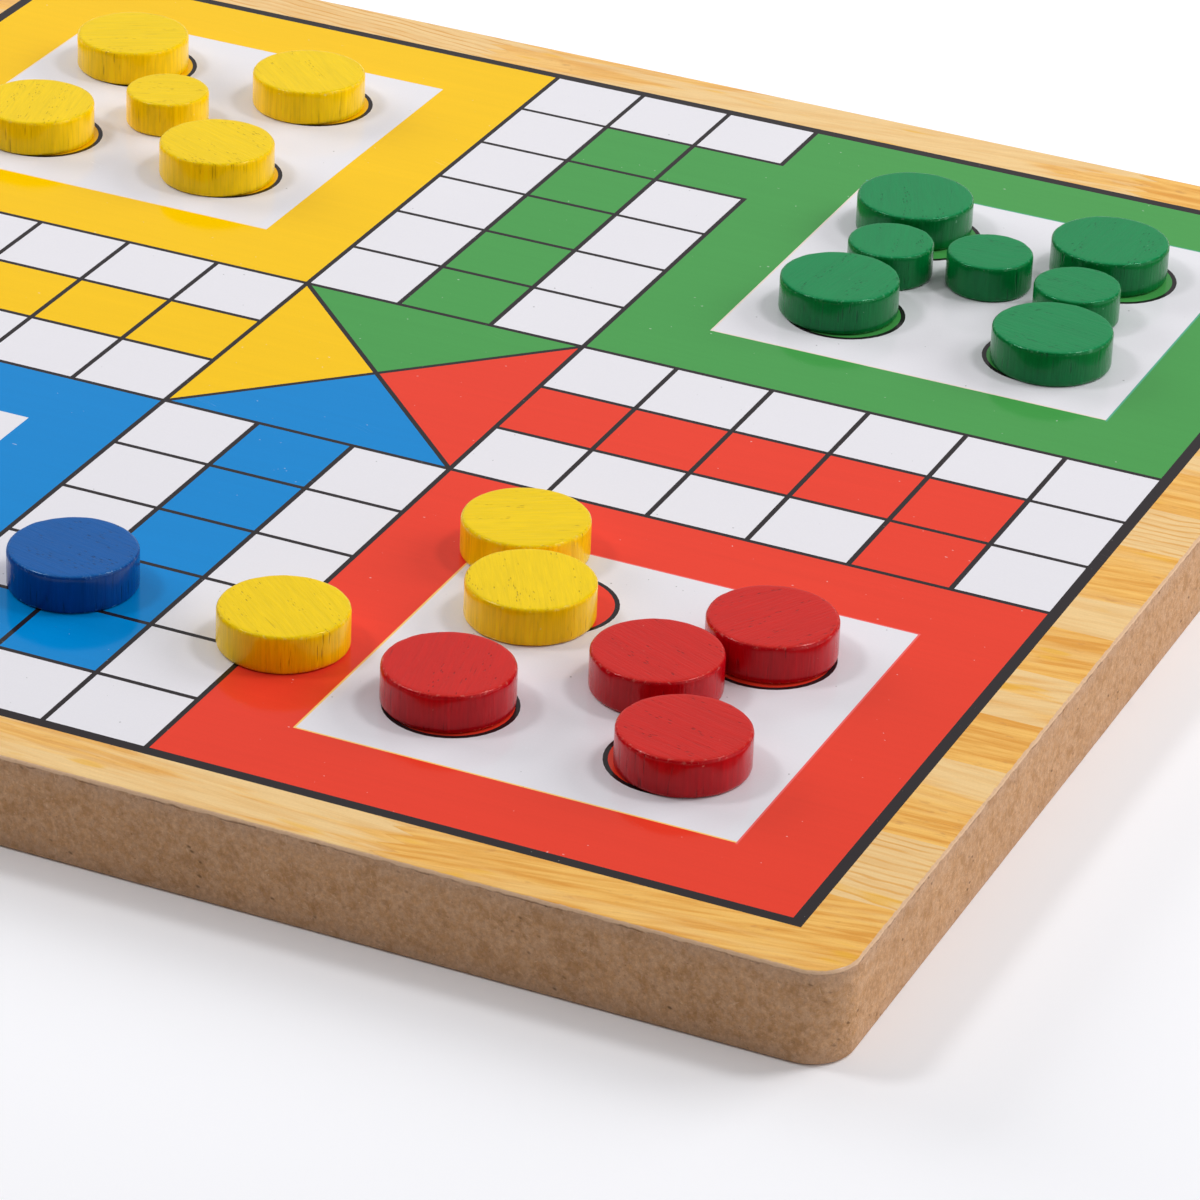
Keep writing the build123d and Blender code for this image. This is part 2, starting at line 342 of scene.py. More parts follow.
def rounded_edge_distance(recipe):
    """How far inside the board's rounded outline a place lies."""
    x, y = recipe.parts(recipe.place)[:2]
    reach = board_half - corner_radius
    over_x = recipe.sum("SUBTRACT", recipe.sum("ABSOLUTE", x), reach)
    over_y = recipe.sum("SUBTRACT", recipe.sum("ABSOLUTE", y), reach)
    out_x = recipe.sum("MAXIMUM", over_x, 0.0)
    out_y = recipe.sum("MAXIMUM", over_y, 0.0)
    squares = recipe.sum("ADD", recipe.sum("POWER", out_x, 2.0), recipe.sum("POWER", out_y, 2.0))
    corner = recipe.sum("SQRT", squares)
    flat = recipe.sum("MINIMUM", recipe.sum("MAXIMUM", over_x, over_y), 0.0)
    return recipe.sum("SUBTRACT", corner_radius, recipe.sum("ADD", corner, flat))


def stave_of(recipe, x, y):
    """The look of the piece of stave at a place, a number of its own for it, and how near its end is."""
    ramp = recipe.add("ValToRGB", {"Fac": recipe.sum("MULTIPLY_ADD", y, 0.5 / board_half, 0.5)})
    ramp.color_ramp.interpolation = "CONSTANT"
    elements = ramp.color_ramp.elements
    elements[0].color = (stave_tones[0],) * 3 + (1,)
    elements.remove(elements[1])
    for edge, tone in zip(stave_edges, stave_tones[1:]):
        element = elements.new(0.5 + edge * MM / (2 * board_half))
        element.color = (tone,) * 3 + (1,)
    stave = recipe.parts(ramp.outputs["Color"])[0]
    scattered = recipe.sum("MULTIPLY_ADD", stave, joint_scatter, -stave_tones[0] * joint_scatter)
    shift = recipe.sum("FRACT", scattered)
    fingers = recipe.sum("MULTIPLY_ADD", recipe.sum("PINGPONG", y, finger_half), finger_slope, x)
    along = recipe.sum("MULTIPLY_ADD", fingers, 1 / stave_length, -first_joint / stave_length)
    along = recipe.sum("SUBTRACT", along, shift)
    at_right = (board_half - first_joint) / stave_length
    last = recipe.sum("FLOOR", recipe.sum("SUBTRACT", at_right, shift))
    number = recipe.sum("SUBTRACT", recipe.sum("FLOOR", along), last)
    look = recipe.sum("FRACT", recipe.sum("MULTIPLY_ADD", number, look_step, stave))
    own = recipe.sum("MULTIPLY_ADD", number, own_step, recipe.sum("MULTIPLY", stave, own_scatter))
    own = recipe.sum("FRACT", own)
    end = recipe.sum("PINGPONG", along, 0.5)
    return look, own, end


def wavy_lines(recipe, place, pitch):
    """Year lines: about evenly spaced across y, wandering and fading along their length."""
    y = recipe.parts(place)[1]
    wander = recipe.noise(recipe.drawn_out(place, (38, 70, 1)), 1, 2, 0.55)
    shiver = recipe.noise(recipe.drawn_out(place, (160, 420, 1)), 1, 1)
    turns = recipe.sum("MULTIPLY_ADD", wander, 2.6, recipe.sum("MULTIPLY", y, 1 / pitch))
    turns = recipe.sum("MULTIPLY_ADD", shiver, 0.4, turns)
    wave = recipe.sum("SINE", recipe.sum("MULTIPLY", turns, 2 * pi))
    fade = recipe.between(recipe.noise(recipe.drawn_out(place, (90, 260, 1)), 1, 2), 0.35, 0.6, 0.35, 1.0)
    return recipe.sum("MULTIPLY", recipe.between(wave, 0.25, 1.0), fade)


def wood_print(name):
    """Pale, lined and golden staves, with the rim where the print was trimmed."""
    recipe = Recipe(name)
    place = recipe.place
    x, y = recipe.parts(place)[:2]
    look, own, end = stave_of(recipe, x, y)
    shift = recipe.add("CombineXYZ", {0: recipe.sum("MULTIPLY", own, 3.1), 1: look, 2: 0.0}).outputs[0]
    moved = recipe.add("VectorMath", {0: place, 1: shift}, operation="ADD").outputs[0]
    lean = recipe.sum("MULTIPLY_ADD", own, 0.36, -0.24)
    leaning = recipe.add("VectorRotate", {"Vector": moved, "Angle": lean}, rotation_type="Z_AXIS").outputs[0]
    broad = recipe.noise(recipe.drawn_out(moved, (17, 150, 17)), 1, 3, 0.6, 0.4)
    streaks = recipe.noise(recipe.drawn_out(leaning, (45, 620, 45)), 1, 3, 0.6, 0.3)
    fine = recipe.noise(recipe.drawn_out(leaning, (170, 2300, 170)), 1, 3, 0.65)
    spots = recipe.noise(recipe.drawn_out(leaning, (260, 520, 260)), 1, 2, 0.6)
    grainy = recipe.noise(place, 2400, 3, 0.75)

    golden = recipe.blend(recipe.between(streaks, 0.34, 0.66), ink("F2BD63"), ink("DE9A3C"))
    golden = recipe.blend(recipe.between(broad, 0.50, 0.68, 0.0, 0.55), golden, ink("F0C57C"))
    golden = recipe.blend(recipe.between(spots, 0.62, 0.76, 0.0, 0.4), golden, ink("B87C46"))
    pale = recipe.blend(recipe.between(streaks, 0.38, 0.68, 0.0, 0.5), ink("EDC88C"), ink("E1AE67"))
    year_lines = recipe.sum("MULTIPLY", wavy_lines(recipe, leaning, year_line_pitch), 0.7)
    lined = recipe.blend(year_lines, pale, ink("DB9A40"))
    mixed = recipe.blend(recipe.between(broad, 0.47, 0.60), pale, golden)
    wood = recipe.blend(recipe.between(look, 0.24, 0.25), lined, mixed)
    wood = recipe.blend(recipe.between(look, 0.55, 0.56), wood, golden)
    sunny = recipe.noise(recipe.drawn_out(moved, (60, 230, 60)), 1, 1)
    wood = recipe.blend(recipe.between(sunny, 0.64, 0.74, 0.0, 0.6), wood, ink("EBB02A"))
    wood = recipe.shaded(wood, recipe.vary((fine, 0.22), (grainy, 0.16)))
    wood = recipe.blend(recipe.between(end, 0.0, joint_line / stave_length, 0.3, 0.0), wood, ink("A9713A"))
    inside = rounded_edge_distance(recipe)
    ragged = recipe.sum("MULTIPLY_ADD", recipe.noise(place, 500, 3), trim_unevenness, inside)
    rim = recipe.between(ragged, trim_outer, trim_inner, 1.0, 0.0)
    trimmed = recipe.shaded(ink("DDB693"), recipe.vary((recipe.noise(place, 1300, 3), 0.4)))
    wood = recipe.blend(rim, wood, trimmed)
    return laminate(recipe, wood)


# The raw edge of the fibreboard: pressed fibres, blotches, greyer skins, pits and a pale band along the arris

fibre_turns = (0.35, -0.6, 1.35)
fibre_relief = 0.08 * MM
seam_drop = 0.36 * MM
seam_inner = 0.04 * MM
seam_outer = 0.15 * MM
arris_start = 0.24 * MM
arris_full = 0.06 * MM
edge_unevenness = 0.7 * MM


def fibreboard(name):
    """Fibres, blotches and pits along the edge, a dark seam under the laminate and a pale arris."""
    recipe = Recipe(name)
    place = recipe.place
    x, y, z = recipe.parts(place)[:3]
    along = {0: recipe.sum("ADD", x, y), 1: z, 2: recipe.sum("SUBTRACT", x, y)}
    run = recipe.add("CombineXYZ", along).outputs[0]
    columns = recipe.noise(recipe.drawn_out(run, (60, 35, 45)), 1, 2)
    patches = recipe.noise(recipe.drawn_out(run, (480, 620, 480)), 1, 3, 0.7)
    mottle = recipe.noise(recipe.drawn_out(run, (900, 1100, 900)), 1, 3, 0.7)
    dust = recipe.noise(place, 2900, 3, 0.8)
    fibres = None
    for turn in fibre_turns:
        layer = recipe.noise(recipe.drawn_out(run, (430, 2600, 300), turn), 1, 2, 0.6, 0.3)
        fibres = layer if fibres is None else recipe.sum("MAXIMUM", fibres, layer)
    height = recipe.sum("MULTIPLY", z, 1 / top)
    skin = recipe.between(recipe.sum("ABSOLUTE", recipe.sum("SUBTRACT", height, 0.5)), 0.25, 0.5)
    body = recipe.blend(recipe.between(patches, 0.36, 0.66), ink("CAA07C"), ink("C09267"))
    body = recipe.blend(recipe.sum("MULTIPLY", skin, 0.55), body, ink("BC9A80"))
    blotches = recipe.noise(recipe.drawn_out(run, (190, 300, 190), 0.5), 1, 4, 0.7)
    body = recipe.blend(recipe.between(blotches, 0.50, 0.64, 0.0, 0.5), body, ink("A87A4C"))
    body = recipe.shaded(body, recipe.vary((columns, 0.14), (mottle, 0.75), (fibres, 0.25), (dust, 0.5)))
    body = recipe.blend(recipe.between(fibres, 0.67, 0.79, 0.0, 0.45), body, ink("E2C7AA"))
    flecks = recipe.noise(recipe.drawn_out(run, (1500, 2300, 1500), 0.8), 1, 1)
    body = recipe.blend(recipe.between(flecks, 0.74, 0.82, 0.0, 0.55), body, ink("E6CDB2"))
    body = recipe.blend(recipe.between(flecks, 0.20, 0.27, 0.5, 0.0), body, ink("6B4629"))
    pits = recipe.cells(recipe.drawn_out(run, (0.45, 1.3, 0.6), 0.3), 480)
    few = recipe.between(recipe.noise(run, 190, 1), 0.54, 0.66)
    pit = recipe.sum("MULTIPLY", recipe.between(pits, 0.05, 0.24, 1.0, 0.0), few)
    body = recipe.blend(recipe.sum("MULTIPLY", pit, 0.65), body, ink("4E331F"))
    dashes = recipe.between(recipe.noise(recipe.drawn_out(place, (300, 300, 200)), 1, 3), 0.50, 0.60)
    ragged = recipe.sum("MULTIPLY_ADD", recipe.noise(place, 420, 3), edge_unevenness, z)
    seam = recipe.sum("ABSOLUTE", recipe.sum("SUBTRACT", ragged, top - seam_drop))
    seam = recipe.between(seam, seam_inner, seam_outer, 1.0, 0.0)
    seam = recipe.sum("MULTIPLY", seam, recipe.sum("MULTIPLY", dashes, 0.5))
    body = recipe.blend(seam, body, ink("5A4030"))
    arris = recipe.between(ragged, top - arris_start, top - arris_full)
    body = recipe.blend(recipe.sum("MULTIPLY", arris, 0.9), body, ink("E3BE9C"))
    rough = recipe.sum("MULTIPLY_ADD", dust, 0.15, 0.72)
    relief = recipe.sum("MULTIPLY_ADD", fibres, 0.8, recipe.sum("ADD", dust, mottle))
    relief = recipe.sum("MULTIPLY_ADD", pit, -1.6, relief)
    return recipe.finish(body, rough, recipe.bump(relief, fibre_relief), Specular_IOR_Level=0.2)


# Painted tokens: the grain of the turned wood shows through the paint, as short pores and slits on the faces
# and as upright fibres round the side. The faces carry a painted sheen. The paint is thin and shiny on the
# arris, where a broken pale line is partly worn paint and partly a painted highlight, and it is rubbed
# through in dots.

paint_relief = 0.10 * MM
side_roughness = 0.20
face_roughness = 0.34


def token_paint(name, face_tone_with_painted_sheen, side_tone, deep, chafe_and_highlight_tone, gloss_tone):
    """One paint: its tones on the faces, which carry a painted sheen, round the side and deep in the pores,
    and its pale tone for rubbed dots and a painted highlight on the arris.
    """
    recipe = Recipe(name)
    grain = recipe.attribute("grain_place")
    facing = recipe.sum("ABSOLUTE", recipe.parts(recipe.add("NewGeometry").outputs["Normal"])[2])
    face = recipe.between(facing, 0.55, 0.92)
    ridges = recipe.noise(recipe.drawn_out(grain, (130, 1700, 110)), 1, 4, 0.7, 0.3)
    broad = recipe.noise(recipe.drawn_out(grain, (25, 240, 60)), 1, 3)
    rows = recipe.between(recipe.noise(recipe.drawn_out(grain, (38, 420, 30)), 1, 2), 0.54, 0.60)
    pores = recipe.cells(recipe.drawn_out(grain, (520, 2000, 520)), 1.0)
    pore = recipe.sum("MULTIPLY", recipe.between(pores, 0.13, 0.30, 1.0, 0.0), rows)
    slits = recipe.noise(recipe.drawn_out(grain, (120, 2400, 110)), 1, 1)
    scored = recipe.between(recipe.noise(recipe.drawn_out(grain, (60, 160, 60)), 1, 1), 0.50, 0.62)
    slit = recipe.sum("MULTIPLY", recipe.between(slits, 0.22, 0.30, 0.7, 0.0), scored)
    pore = recipe.sum("MAXIMUM", pore, slit)
    upright = recipe.noise(recipe.drawn_out(grain, (1500, 1500, 100)), 1, 3, 0.65)
    ripple = recipe.noise(recipe.drawn_out(grain, (420, 420, 110)), 1, 2)
    cracks = recipe.noise(recipe.drawn_out(grain, (1900, 1900, 170)), 1, 1)
    spread = recipe.between(recipe.noise(grain, 110, 1), 0.42, 0.60)
    side_pore = recipe.sum("MULTIPLY", recipe.between(cracks, 0.26, 0.36, 1.0, 0.0), spread)
    on_face = recipe.vary((ridges, 0.38), (broad, 0.12))
    on_side = recipe.vary((upright, 0.75), (ripple, 0.3))
    off_face = recipe.between(facing, 0.96, 0.99, 1.0, 0.0)
    lip = recipe.sum("MULTIPLY", recipe.between(facing, 0.12, 0.35), off_face)
    # A broken pale line round the arris, partly worn paint and partly a painted highlight from the lamps
    # above
    highlight_and_rub_mask = recipe.between(recipe.noise(grain, 1300, 3, 0.7), 0.54, 0.66, 0.0, 0.25)
    shade = recipe.mix(face, on_side, on_face)
    hole = recipe.mix(face, side_pore, pore)
    # The faces get a painted sheen: their tone is mostly lighter and whiter than the side's, for the light
    # the tops catch
    colour = recipe.shaded(recipe.blend(face, side_tone, face_tone_with_painted_sheen), shade)
    colour = recipe.blend(recipe.sum("MULTIPLY", hole, 0.6), colour, deep)
    colour = recipe.blend(recipe.sum("MULTIPLY", lip, highlight_and_rub_mask), colour, chafe_and_highlight_tone)
    missed = recipe.between(recipe.noise(grain, 1300, 0), 0.88, 0.90, 0.0, 0.4)
    colour = recipe.blend(missed, colour, chafe_and_highlight_tone)
    relief = recipe.mix(face, recipe.sum("ADD", upright, ripple), ridges)
    height = recipe.sum("MULTIPLY_ADD", hole, -0.8, relief)
    normal = recipe.bump(height, paint_relief)
    rough = recipe.mix(face, side_roughness, face_roughness)
    rough = recipe.sum("MULTIPLY_ADD", ridges, 0.10, rough)
    rough = recipe.sum("MULTIPLY_ADD", lip, -0.12, rough)
    return recipe.finish(colour, rough, normal, Specular_IOR_Level=0.4, Specular_Tint=gloss_tone,
                         Coat_Weight=0.2, Coat_Roughness=0.12)


# Die: pale lacquered wood with black paint in its spots

die_grain_turn = radians(31)
die_relief = 0.02 * MM


def die_wood(name):
    recipe = Recipe(name)
    place = recipe.drawn_out(recipe.place, (1, 1, 1), die_grain_turn)
    rings = recipe.noise(recipe.drawn_out(place, (60, 700, 60)), 1, 4, 0.6, 0.5)
    fine = recipe.noise(recipe.drawn_out(place, (300, 2600, 300)), 1, 2)
    colour = recipe.blend(recipe.between(rings, 0.38, 0.68), ink("F0DDB8"), ink("D9B985"))
    colour = recipe.shaded(colour, recipe.vary((fine, 0.16)))
    flecks = recipe.noise(recipe.drawn_out(place, (420, 1500, 420)), 1, 0)
    colour = recipe.blend(recipe.between(flecks, 0.70, 0.76, 0.0, 0.5), colour, ink("A67C4C"))
    rough = recipe.sum("MULTIPLY_ADD", fine, 0.12, 0.32)
    return recipe.finish(colour, rough, recipe.bump(fine, die_relief), Specular_IOR_Level=0.4)


def spot_paint(name):
    recipe = Recipe(name)
    fine = recipe.noise(recipe.place, 2200, 3)
    colour = recipe.shaded(ink("231F20"), recipe.vary((fine, 0.5)))
    rough = recipe.sum("MULTIPLY_ADD", fine, 0.25, 0.25)
    return recipe.finish(colour, rough, recipe.bump(fine, die_relief))


# Figures of the underside


def ladder_print(name):
    """Brown rails and rungs with a drawn grain."""
    recipe = Recipe(name)
    grain = recipe.noise(recipe.drawn_out(recipe.place, (700, 90, 90), 0.35), 1, 3, 0.6, 0.3)
    colour = recipe.blend(recipe.between(grain, 0.35, 0.7), ink("7A4A26"), ink("54301A"))
    return laminate(recipe, recipe.shaded(colour, print_shade(recipe)))


def snake_print(name):
    """Green scales, some lighter than others, with dark edges."""
    recipe = Recipe(name)
    place = recipe.drawn_out(recipe.place, (1, 0.8, 0.2))
    scales = recipe.cells(place, 720, "DISTANCE_TO_EDGE")
    own = recipe.parts(recipe.cells(place, 720, output="Color"))[0]
    colour = recipe.blend(recipe.between(own, 0.45, 0.75), ink("1F6A35"), ink("2F8A45"))
    colour = recipe.blend(recipe.between(scales, 0.04, 0.10, 0.75, 0.0), colour, ink("0F3B1E"))
    return laminate(recipe, recipe.shaded(colour, print_shade(recipe)))


finishes = {
    "fibreboard": fibreboard("raw_fibreboard_edge"),
    "printed_wood": wood_print("wood_look_print"),
    "printed_black": line_print("black_line_print", ink("241D20")),
    "printed_white": white_print("white_print", ink("E4E2E8")),
    "printed_red": colour_print("red_print", ink("E73C28"), (1, 0.5, 0.3, 1), ink("F0706E")),
    "printed_green": colour_print("green_print", ink("46994B"), (0.4, 1, 0.5, 1), ink("5BAFA0")),
    "printed_yellow": colour_print("yellow_print", ink("F5C300"), (1, 0.8, 0.05, 1)),
    "printed_blue": colour_print("blue_print", ink("0083CD"), (0.02, 0.7, 1, 1)),
    "printed_brown": ladder_print("ladder_print"),
    "printed_dark_green": snake_print("snake_print"),
    # Token paints: a face tone with a painted sheen, a side tone, a pore tone, a pale tone for rubbed dots
    # and a painted highlight on the arris, and a gloss tint
    "red_token_paint": token_paint("red_token_paint", ink("CB1D16"), ink("BC0010"), ink("5A070C"),
                                   ink("E8A090"), (1, 0.35, 0.35, 1)),
    "green_token_paint": token_paint("green_token_paint", ink("0F834A"), ink("006E30"), ink("0A3F24"),
                                     ink("8CC8A4"), (0.2, 1, 0.6, 1)),
    "yellow_token_paint": token_paint("yellow_token_paint", ink("F2CC00"), ink("FFD000"), ink("A87A00"),
                                      ink("FBEFA0"), (1, 0.85, 0.0, 1)),
    "blue_token_paint": token_paint("blue_token_paint", ink("0056A1"), ink("003C88"), ink("08264F"),
                                    ink("8CB2DC"), (0.3, 0.7, 1, 1)),
    "die_wood": die_wood("pale_die_wood"),
    "spot_paint": spot_paint("spot_paint"),
}

slot_of = {part["node"]: part["material_slot"] for part in frame["record"]["subparts"]}


def dress(node):
    """Gives a piece of the frame its finish."""
    piece = frame["nodes"][node]
    for slot in piece.material_slots:
        slot.material = finishes[slot_of[node]]


# Tokens: turned discs with a worn arris and the relief of their grain, all made by one tree


class Tree:
    """A geometry tree, with short ways to add its steps."""

    def __init__(self, name):
        self.group = bpy.data.node_groups.new(name, "GeometryNodeTree")
        self.given = self.group.nodes.new("NodeGroupInput")
        self.ports = {}

    def port(self, name, kind):
        socket = self.group.interface.new_socket(name, in_out="INPUT", socket_type=kind)
        self.ports[name] = socket.identifier
        return self.given.outputs[name]

    def put(self, socket, value):
        if isinstance(value, bpy.types.NodeSocket):
            self.group.links.new(value, socket)
        else:
            socket.default_value = value

    def add(self, kind, values=None, **settings):
        node = self.group.nodes.new(kind)
        for key, value in settings.items():
            setattr(node, key, value)
        for key, value in (values or {}).items():
            self.put(node.inputs[key], value)
        return node

    def sum(self, operation, *values):
        node = self.add("ShaderNodeMath", operation=operation)
        for index, value in enumerate(values):
            self.put(node.inputs[index], value)
        return node.outputs[0]

    def rise(self, value, low, high, end):
        """From nothing to the end value while the value goes from low to high."""
        values = {"Value": value, "From Min": low, "From Max": high, "To Min": 0.0, "To Max": end}
        return self.add("ShaderNodeMapRange", values).outputs[0]

    def vector(self, x, y, z):
        return self.add("ShaderNodeCombineXYZ", {0: x, 1: y, 2: z}).outputs[0]

    def pair(self, operation, first, second):
        """The result of one step of arithmetic on two vectors."""
        return self.add("ShaderNodeVectorMath", {0: first, 1: second}, operation=operation).outputs[0]

    def noise(self, place, scale, detail=1.0):
        values = {"Vector": place, "Scale": scale, "Detail": detail}
        return self.add("ShaderNodeTexNoise", values).outputs["Fac"]


round_steps = 128
face_rings = 18
side_rings = 12

# The rings of the blank past these shares of its radius and half height are wrapped round the arris
arris_from_out = 5 / 6
arris_from_up = 2 / 3

# Round the rim the arris radius wanders, between this share of its size and this much more
least_wear = 0.5
more_wear = 0.9
tiny = 0.000001
edge_of_blank = 0.98
face_grain = (60.0, 520.0, 60.0)
side_grain = (560.0, 560.0, 60.0)


def token_tree():
    """The tree of a token: a blank cylinder, its arris worn round and its grain raised."""
    tree = Tree("turned_token")
    diameter = tree.port("Diameter", "NodeSocketFloat")
    thickness = tree.port("Thickness", "NodeSocketFloat")
    arris = tree.port("Arris Radius", "NodeSocketFloat")
    place = tree.port("Place", "NodeSocketVector")
    turn = tree.port("Grain Turn", "NodeSocketFloat")
    relief = tree.port("Grain Relief", "NodeSocketFloat")
    seed = tree.port("Seed", "NodeSocketFloat")
    paint = tree.port("Paint", "NodeSocketMaterial")
    tree.group.interface.new_socket("Token", in_out="OUTPUT", socket_type="NodeSocketGeometry")

    radius = tree.sum("MULTIPLY", diameter, 0.5)
    half = tree.sum("MULTIPLY", thickness, 0.5)
    sizes = {"Vertices": round_steps, "Side Segments": side_rings, "Fill Segments": face_rings}
    blank = tree.add("GeometryNodeMeshCylinder", {**sizes, "Radius": radius, "Depth": thickness},
                     fill_type="TRIANGLE_FAN")
    x, y, z = tree.add("ShaderNodeSeparateXYZ", {0: tree.add("GeometryNodeInputPosition").outputs[0]}).outputs
    out = tree.sum("SQRT", tree.sum("ADD", tree.sum("MULTIPLY", x, x), tree.sum("MULTIPLY", y, y)))
    safe = tree.sum("MAXIMUM", out, tiny)
    way_x = tree.sum("DIVIDE", x, safe)
    way_y = tree.sum("DIVIDE", y, safe)

    own = tree.sum("MULTIPLY", seed, 0.37)
    round_place = tree.vector(way_x, way_y, own)
    wear = tree.noise(round_place, 3.0, 3.0)
    side = tree.sum("SIGN", z)
    worn = tree.sum("MULTIPLY", arris, tree.sum("MULTIPLY_ADD", wear, more_wear, least_wear))
    core_radius = tree.sum("SUBTRACT", radius, worn)
    core_half = tree.sum("SUBTRACT", half, worn)

    share_out = tree.sum("DIVIDE", out, radius)
    share_up = tree.sum("DIVIDE", tree.sum("ABSOLUTE", z), half)
    new_out = tree.sum("ADD", tree.rise(share_out, 0.0, arris_from_out, core_radius),
                       tree.rise(share_out, arris_from_out, 1.0, worn))
    new_up = tree.sum("ADD", tree.rise(share_up, 0.0, arris_from_up, core_half),
                      tree.rise(share_up, arris_from_up, 1.0, worn))
    over_out = tree.sum("MAXIMUM", tree.sum("SUBTRACT", new_out, core_radius), 0.0)
    over_up = tree.sum("MAXIMUM", tree.sum("SUBTRACT", new_up, core_half), 0.0)
    length = tree.sum("SQRT", tree.sum("ADD", tree.sum("MULTIPLY", over_out, over_out),
                                       tree.sum("MULTIPLY", over_up, over_up)))
    pull = tree.sum("DIVIDE", worn, tree.sum("MAXIMUM", length, tiny))
    pull = tree.sum("MINIMUM", pull, 1.0)
    kept_out = tree.sum("SUBTRACT", new_out, over_out)
    kept_up = tree.sum("SUBTRACT", new_up, over_up)
    round_out = tree.sum("ADD", kept_out, tree.sum("MULTIPLY", over_out, pull))
    round_up = tree.sum("ADD", kept_up, tree.sum("MULTIPLY", over_up, pull))

    flat = tree.vector(tree.sum("MULTIPLY", way_x, round_out), tree.sum("MULTIPLY", way_y, round_out),
                       tree.sum("MULTIPLY", side, round_up))
    turner = tree.add("ShaderNodeVectorRotate", {"Vector": flat, "Angle": turn}, rotation_type="Z_AXIS")
    shift = tree.vector(own, tree.sum("MULTIPLY", own, 0.7), own)
    grain_place = tree.pair("ADD", turner.outputs[0], shift)
    stretched = tree.pair("MULTIPLY", grain_place, face_grain)
    upright = tree.pair("MULTIPLY", grain_place, side_grain)
    face_relief = tree.sum("MULTIPLY", tree.noise(stretched, 1.0, 2.0), relief)
    side_relief = tree.sum("MULTIPLY", tree.noise(upright, 1.0, 1.0), relief)
    on_face = tree.rise(share_up, edge_of_blank, 1.0, 1.0)
    upper = tree.rise(side, 0.0, 1.0, 1.0)
    on_side = tree.rise(share_out, edge_of_blank, 1.0, 1.0)
    sink = tree.sum("MULTIPLY", tree.sum("MULTIPLY", face_relief, on_face), upper)
    draw_in = tree.sum("MULTIPLY", side_relief, on_side)
    last_out = tree.sum("SUBTRACT", round_out, draw_in)
    last_up = tree.sum("SUBTRACT", tree.sum("MULTIPLY", side, round_up), sink)
    last = tree.vector(tree.sum("MULTIPLY", way_x, last_out), tree.sum("MULTIPLY", way_y, last_out), last_up)
    seated = tree.pair("ADD", last, place)

    marks = {"Geometry": blank.outputs["Mesh"], "Name": "grain_place"}
    marked = tree.add("GeometryNodeStoreNamedAttribute", marks, data_type="FLOAT_VECTOR", domain="POINT")
    tree.put(marked.inputs["Value"], grain_place)
    shaped = tree.add("GeometryNodeSetPosition", {"Geometry": marked.outputs[0], "Position": seated})
    smooth = tree.add("GeometryNodeSetShadeSmooth", {"Geometry": shaped.outputs[0]})
    real = tree.add("GeometryNodeRealizeInstances", {"Geometry": smooth.outputs[0]})
    painted = tree.add("GeometryNodeSetMaterial", {"Geometry": real.outputs[0], "Material": paint})
    result = tree.add("NodeGroupOutput")
    tree.group.links.new(painted.outputs[0], result.inputs[0])
    return tree


def grown(name, tree, settings):
    """A plain mesh piece out of a tree and its settings."""
    holder = bpy.data.objects.new("holder", bpy.data.meshes.new("holder"))
    bpy.context.collection.objects.link(holder)
    modifier = holder.modifiers.new("tree", "NODES")
    modifier.node_group = tree.group
    for port, value in settings.items():
        modifier[tree.ports[port]] = value
    graph = bpy.context.evaluated_depsgraph_get()
    mesh = bpy.data.meshes.new_from_object(holder.evaluated_get(graph))
    bpy.data.objects.remove(holder)
    mesh.name = name
    piece = bpy.data.objects.new(name, mesh)
    bpy.context.collection.objects.link(piece)
    return piece


# How far the grain of a token is turned, in degrees, chosen for those that show it best
grain_turns = {
    "large_red_token_1": 78,
    "large_red_token_2": 14,
    "large_red_token_3": 118,
    "large_red_token_4": 24,
    "large_yellow_token_5": 40,
    "large_yellow_token_6": 60,
    "large_yellow_token_7": 150,
}

token_arris = 0.75 * MM
token_relief = 0.035 * MM


def make_tokens():
    """A turned token in place of each token of the frame, with its own turn of the grain."""
    tree = token_tree()
    rng = random.Random(7)
    names = [node for node in frame["nodes"] if "_token_" in node]
    for number, node in enumerate(sorted(names), 1):
        low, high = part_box(node)
        middle = (Vector(low) + Vector(high)) / 2
        any_turn = rng.uniform(0, 180)
        piece = grown("turned_" + node, tree, {
            "Diameter": high[0] - low[0],
            "Thickness": high[2] - low[2],
            "Arris Radius": token_arris,
            "Place": tuple(middle),
            "Grain Turn": radians(grain_turns.get(node, any_turn)),
            "Grain Relief": token_relief,
            "Seed": float(number),
            "Paint": finishes[slot_of[node]],
        })
        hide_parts(node)
        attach(piece, node + "_body")


# Prints of the underside that lie on its squares: numbers, and the eyes and tongues of the snakes.
# They are drawn as they are read from below: u runs to the right, which is -x, and v runs up, which is +y.

number_height = 7.4 * MM
number_step = 4.5 * MM
number_margin = 2.2 * MM
figure_share = 0.7
print_depth = 0.02 * MM

# Head and tail of each snake: column and row from the lower left
snakes = [((3, 4), (3, 1)), ((6, 7), (6, 3)), ((9, 8), (9, 5)), ((1, 9), (0, 7)), ((5, 9), (5, 6)),
          ((9, 3), (9, 0))]
eye_spread = 2.4 * MM
eye_radius = 1.3 * MM
pupil_radius = 0.65 * MM
pupil_ahead = 0.3 * MM
pupil_depth = 1.5 * print_depth

# The forked tongue in millimetres, across and ahead of the middle of the head
tongue = [(-0.3, 6.0), (0.3, 6.0), (0.3, 8.8), (1.5, 10.6), (1.1, 10.9), (0.0, 9.5), (-1.1, 10.9),
          (-1.5, 10.6), (-0.3, 8.8)]


def square_middle(column, row):
    """The middle of a square, counted from the lower left."""
    first = (1 - squares_across) / 2 * square
    return first + column * square, first + row * square


